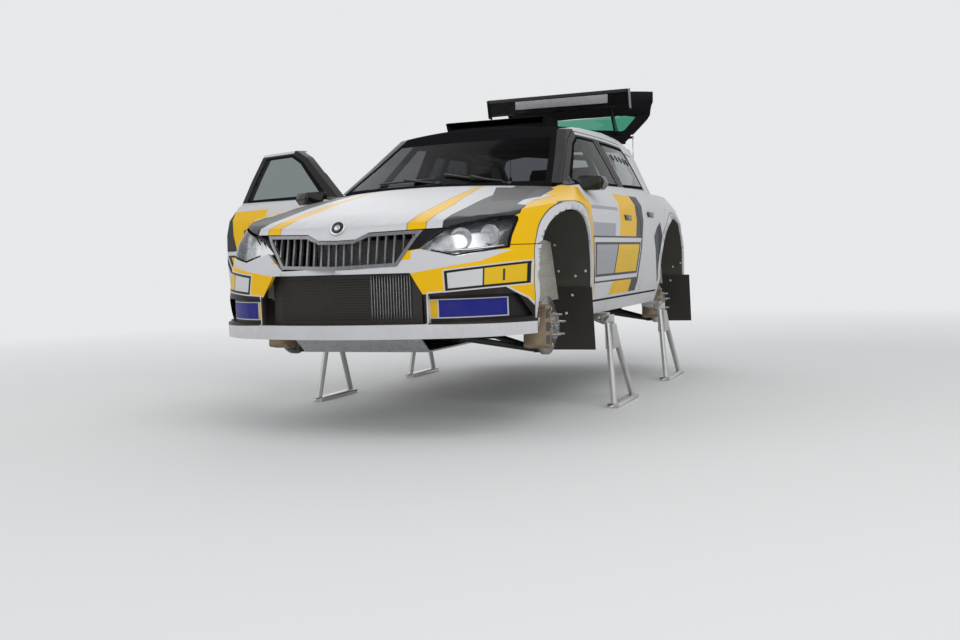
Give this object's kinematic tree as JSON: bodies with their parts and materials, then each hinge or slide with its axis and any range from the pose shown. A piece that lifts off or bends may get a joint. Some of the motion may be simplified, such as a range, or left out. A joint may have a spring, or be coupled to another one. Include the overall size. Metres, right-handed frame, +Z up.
{
  "type": "rally car on service stands",
  "caption": "Five-door rally hatchback shell without wheels on A-frame stands, with hinged doors, bonnet, tailgate, steered uprights and turning hubs.",
  "frame": {"origin": "centre of the rectangle of the four stand feet, on the floor", "axes": "+Z up, +Y towards the car's rear, +X to the car's left"},
  "size_m": [2.8335, 4.3371, 2.1733],
  "materials": {
    "shell_white": "gloss",
    "shell_yellow": "gloss",
    "shell_grey": "satin",
    "roof_black": "gloss",
    "matte_black": "matte",
    "glazing": "clear",
    "glazing_tint": "tinted",
    "grille_black": "gloss",
    "lamp_clear": "clear",
    "radiator": "matte",
    "lamp_red": "gloss",
    "flap_rubber": "matte",
    "cage_steel": "satin",
    "seat_fabric": "matte",
    "engine_metal": "cast",
    "steel_dark": "satin",
    "upright_metal": "cast",
    "guard_metal": "brushed",
    "exhaust_steel": "satin",
    "stand_metal": "brushed",
    "mirror_black": "gloss",
    "strut_black": "satin",
    "rod_chrome": "polished",
    "hub_metal": "machined",
    "wheel_suede": "matte"
  },
  "bodies": {
    "body": {"floor_pan": "shell_grey", "front_frame": "shell_grey", "body_side_left": "shell_white", "body_side_right": "shell_white", "roof_panel": "roof_black", "scuttle": "matte_black", "windscreen": "glazing", "fender_left": "shell_yellow", "fender_right": "shell_yellow", "front_bumper": "shell_yellow", "duct_panels": "matte_black", "grille": "grille_black", "headlamps": "lamp_clear", "radiator": "radiator", "rear_bumper": "shell_white", "tail_lamps": "lamp_red", "arch_liners": "matte_black", "mud_flaps": "flap_rubber", "roll_cage": "cage_steel", "seats": "seat_fabric", "dashboard": "matte_black", "engine_block": "engine_metal", "rear_differential": "engine_metal", "subframe_front": "steel_dark", "subframe_rear": "steel_dark", "uprights_rear": "upright_metal", "drive_shafts": "steel_dark", "sump_guard": "guard_metal", "exhaust": "exhaust_steel", "stands": "stand_metal"},
    "door_front_left": {"door_front_left": "shell_white", "door_front_window_left": "glazing", "mirror_left": "mirror_black"},
    "door_front_right": {"door_front_right": "shell_white", "door_front_window_right": "glazing", "mirror_right": "mirror_black"},
    "door_rear_left": {"door_rear_left": "shell_white", "door_rear_window_left": "glazing"},
    "door_rear_right": {"door_rear_right": "shell_white", "door_rear_window_right": "glazing"},
    "bonnet": {"bonnet": "shell_white"},
    "tailgate": {"tailgate": "roof_black", "tailgate_window": "glazing_tint", "rear_wing": "roof_black"},
    "strut_tube_left": {"strut_tube_left": "strut_black"},
    "strut_tube_right": {"strut_tube_right": "strut_black"},
    "strut_rod_left": {"strut_rod_left": "rod_chrome"},
    "strut_rod_right": {"strut_rod_right": "rod_chrome"},
    "upright_front_left": {"upright_front_left": "upright_metal"},
    "upright_front_right": {"upright_front_right": "upright_metal"},
    "hub_front_left": {"hub_front_left": "hub_metal"},
    "hub_front_right": {"hub_front_right": "hub_metal"},
    "hub_rear_left": {"hub_rear_left": "hub_metal"},
    "hub_rear_right": {"hub_rear_right": "hub_metal"},
    "steering_rack": {"steering_rack": "steel_dark"},
    "steering_wheel": {"steering_wheel": "wheel_suede"}
  },
  "joints": [
    {"name": "door_front_left_hinge", "type": "hinge", "parent": "body", "child": "door_front_left", "pos_m": [0.885, -0.926, 1.1], "axis": [0, 0, -1], "range_deg": [0, 65]},
    {"name": "door_front_right_hinge", "type": "hinge", "parent": "body", "child": "door_front_right", "pos_m": [-0.885, -0.926, 1.1], "axis": [0, 0, 1], "range_deg": [-65, 0]},
    {"name": "door_rear_left_hinge", "type": "hinge", "parent": "body", "child": "door_rear_left", "pos_m": [0.885, 0.131, 1.1], "axis": [0, 0, -1], "range_deg": [0, 62]},
    {"name": "door_rear_right_hinge", "type": "hinge", "parent": "body", "child": "door_rear_right", "pos_m": [-0.885, 0.131, 1.1], "axis": [0, 0, 1], "range_deg": [0, 62]},
    {"name": "bonnet_hinge", "type": "hinge", "parent": "body", "child": "bonnet", "pos_m": [0, -1.053, 1.25], "axis": [-1, 0, 0], "range_deg": [0, 50]},
    {"name": "tailgate_hinge", "type": "hinge", "parent": "body", "child": "tailgate", "pos_m": [0, 1.318, 1.665], "axis": [-1, 0, 0], "range_deg": [0, 98]},
    {"name": "strut_tube_left_pivot", "type": "hinge", "parent": "body", "child": "strut_tube_left", "pos_m": [0.5, 1.475, 1.21], "axis": [1, 0, 0], "range_deg": [0, 23.98]},
    {"name": "strut_tube_right_pivot", "type": "hinge", "parent": "body", "child": "strut_tube_right", "pos_m": [-0.5, 1.475, 1.21], "axis": [1, 0, 0], "range_deg": [0, 23.98]},
    {"name": "strut_rod_left_slide", "type": "slide", "parent": "strut_tube_left", "child": "strut_rod_left", "axis": [0, -0.0214, -0.9998], "range_m": [0, 0.2223]},
    {"name": "strut_rod_right_slide", "type": "slide", "parent": "strut_tube_right", "child": "strut_rod_right", "axis": [0, -0.0214, -0.9998], "range_m": [0, 0.2223]},
    {"name": "steer_left", "type": "hinge", "parent": "body", "child": "upright_front_left", "pos_m": [0.7, -1.425, 0.38], "axis": [-0.1414, 0, 0.9899], "range_deg": [-32, 32]},
    {"name": "steer_right", "type": "hinge", "parent": "body", "child": "upright_front_right", "pos_m": [-0.7, -1.425, 0.38], "axis": [0.1414, 0, 0.9899], "range_deg": [-32, 32]},
    {"name": "steering_rack_slide", "type": "slide", "parent": "body", "child": "steering_rack", "axis": [1, 0, 0], "range_m": [-0.0735, 0.0735]},
    {"name": "steering_wheel_turn", "type": "hinge", "parent": "body", "child": "steering_wheel", "pos_m": [0.35, -0.44, 1.128], "axis": [0, 0.9272, 0.3746], "range_deg": [-270, 270]},
    {"name": "hub_front_left_spin", "type": "hinge", "parent": "upright_front_left", "child": "hub_front_left", "pos_m": [0.8, -1.425, 0.5], "axis": [1, 0, 0], "continuous": true},
    {"name": "hub_rear_left_spin", "type": "hinge", "parent": "body", "child": "hub_rear_left", "pos_m": [0.8, 1.055, 0.5], "axis": [1, 0, 0], "continuous": true},
    {"name": "hub_front_right_spin", "type": "hinge", "parent": "upright_front_right", "child": "hub_front_right", "pos_m": [-0.8, -1.425, 0.5], "axis": [-1, 0, 0], "continuous": true},
    {"name": "hub_rear_right_spin", "type": "hinge", "parent": "body", "child": "hub_rear_right", "pos_m": [-0.8, 1.055, 0.5], "axis": [-1, 0, 0], "continuous": true}
  ],
  "couplings": [
    {"joint": "steer_right", "follows": "steer_left", "ratio": 1},
    {"joint": "steering_rack_slide", "follows": "steer_left", "m_per_rad": -0.1295},
    {"joint": "steering_wheel_turn", "follows": "steer_left", "ratio": 8.4},
    {"joint": "strut_tube_left_pivot", "follows": "tailgate_hinge", "ratio": 0.23964},
    {"joint": "strut_rod_left_slide", "follows": "tailgate_hinge", "m_per_rad": 0.12878},
    {"joint": "strut_tube_right_pivot", "follows": "tailgate_hinge", "ratio": 0.23964},
    {"joint": "strut_rod_right_slide", "follows": "tailgate_hinge", "m_per_rad": 0.12878}
  ]
}
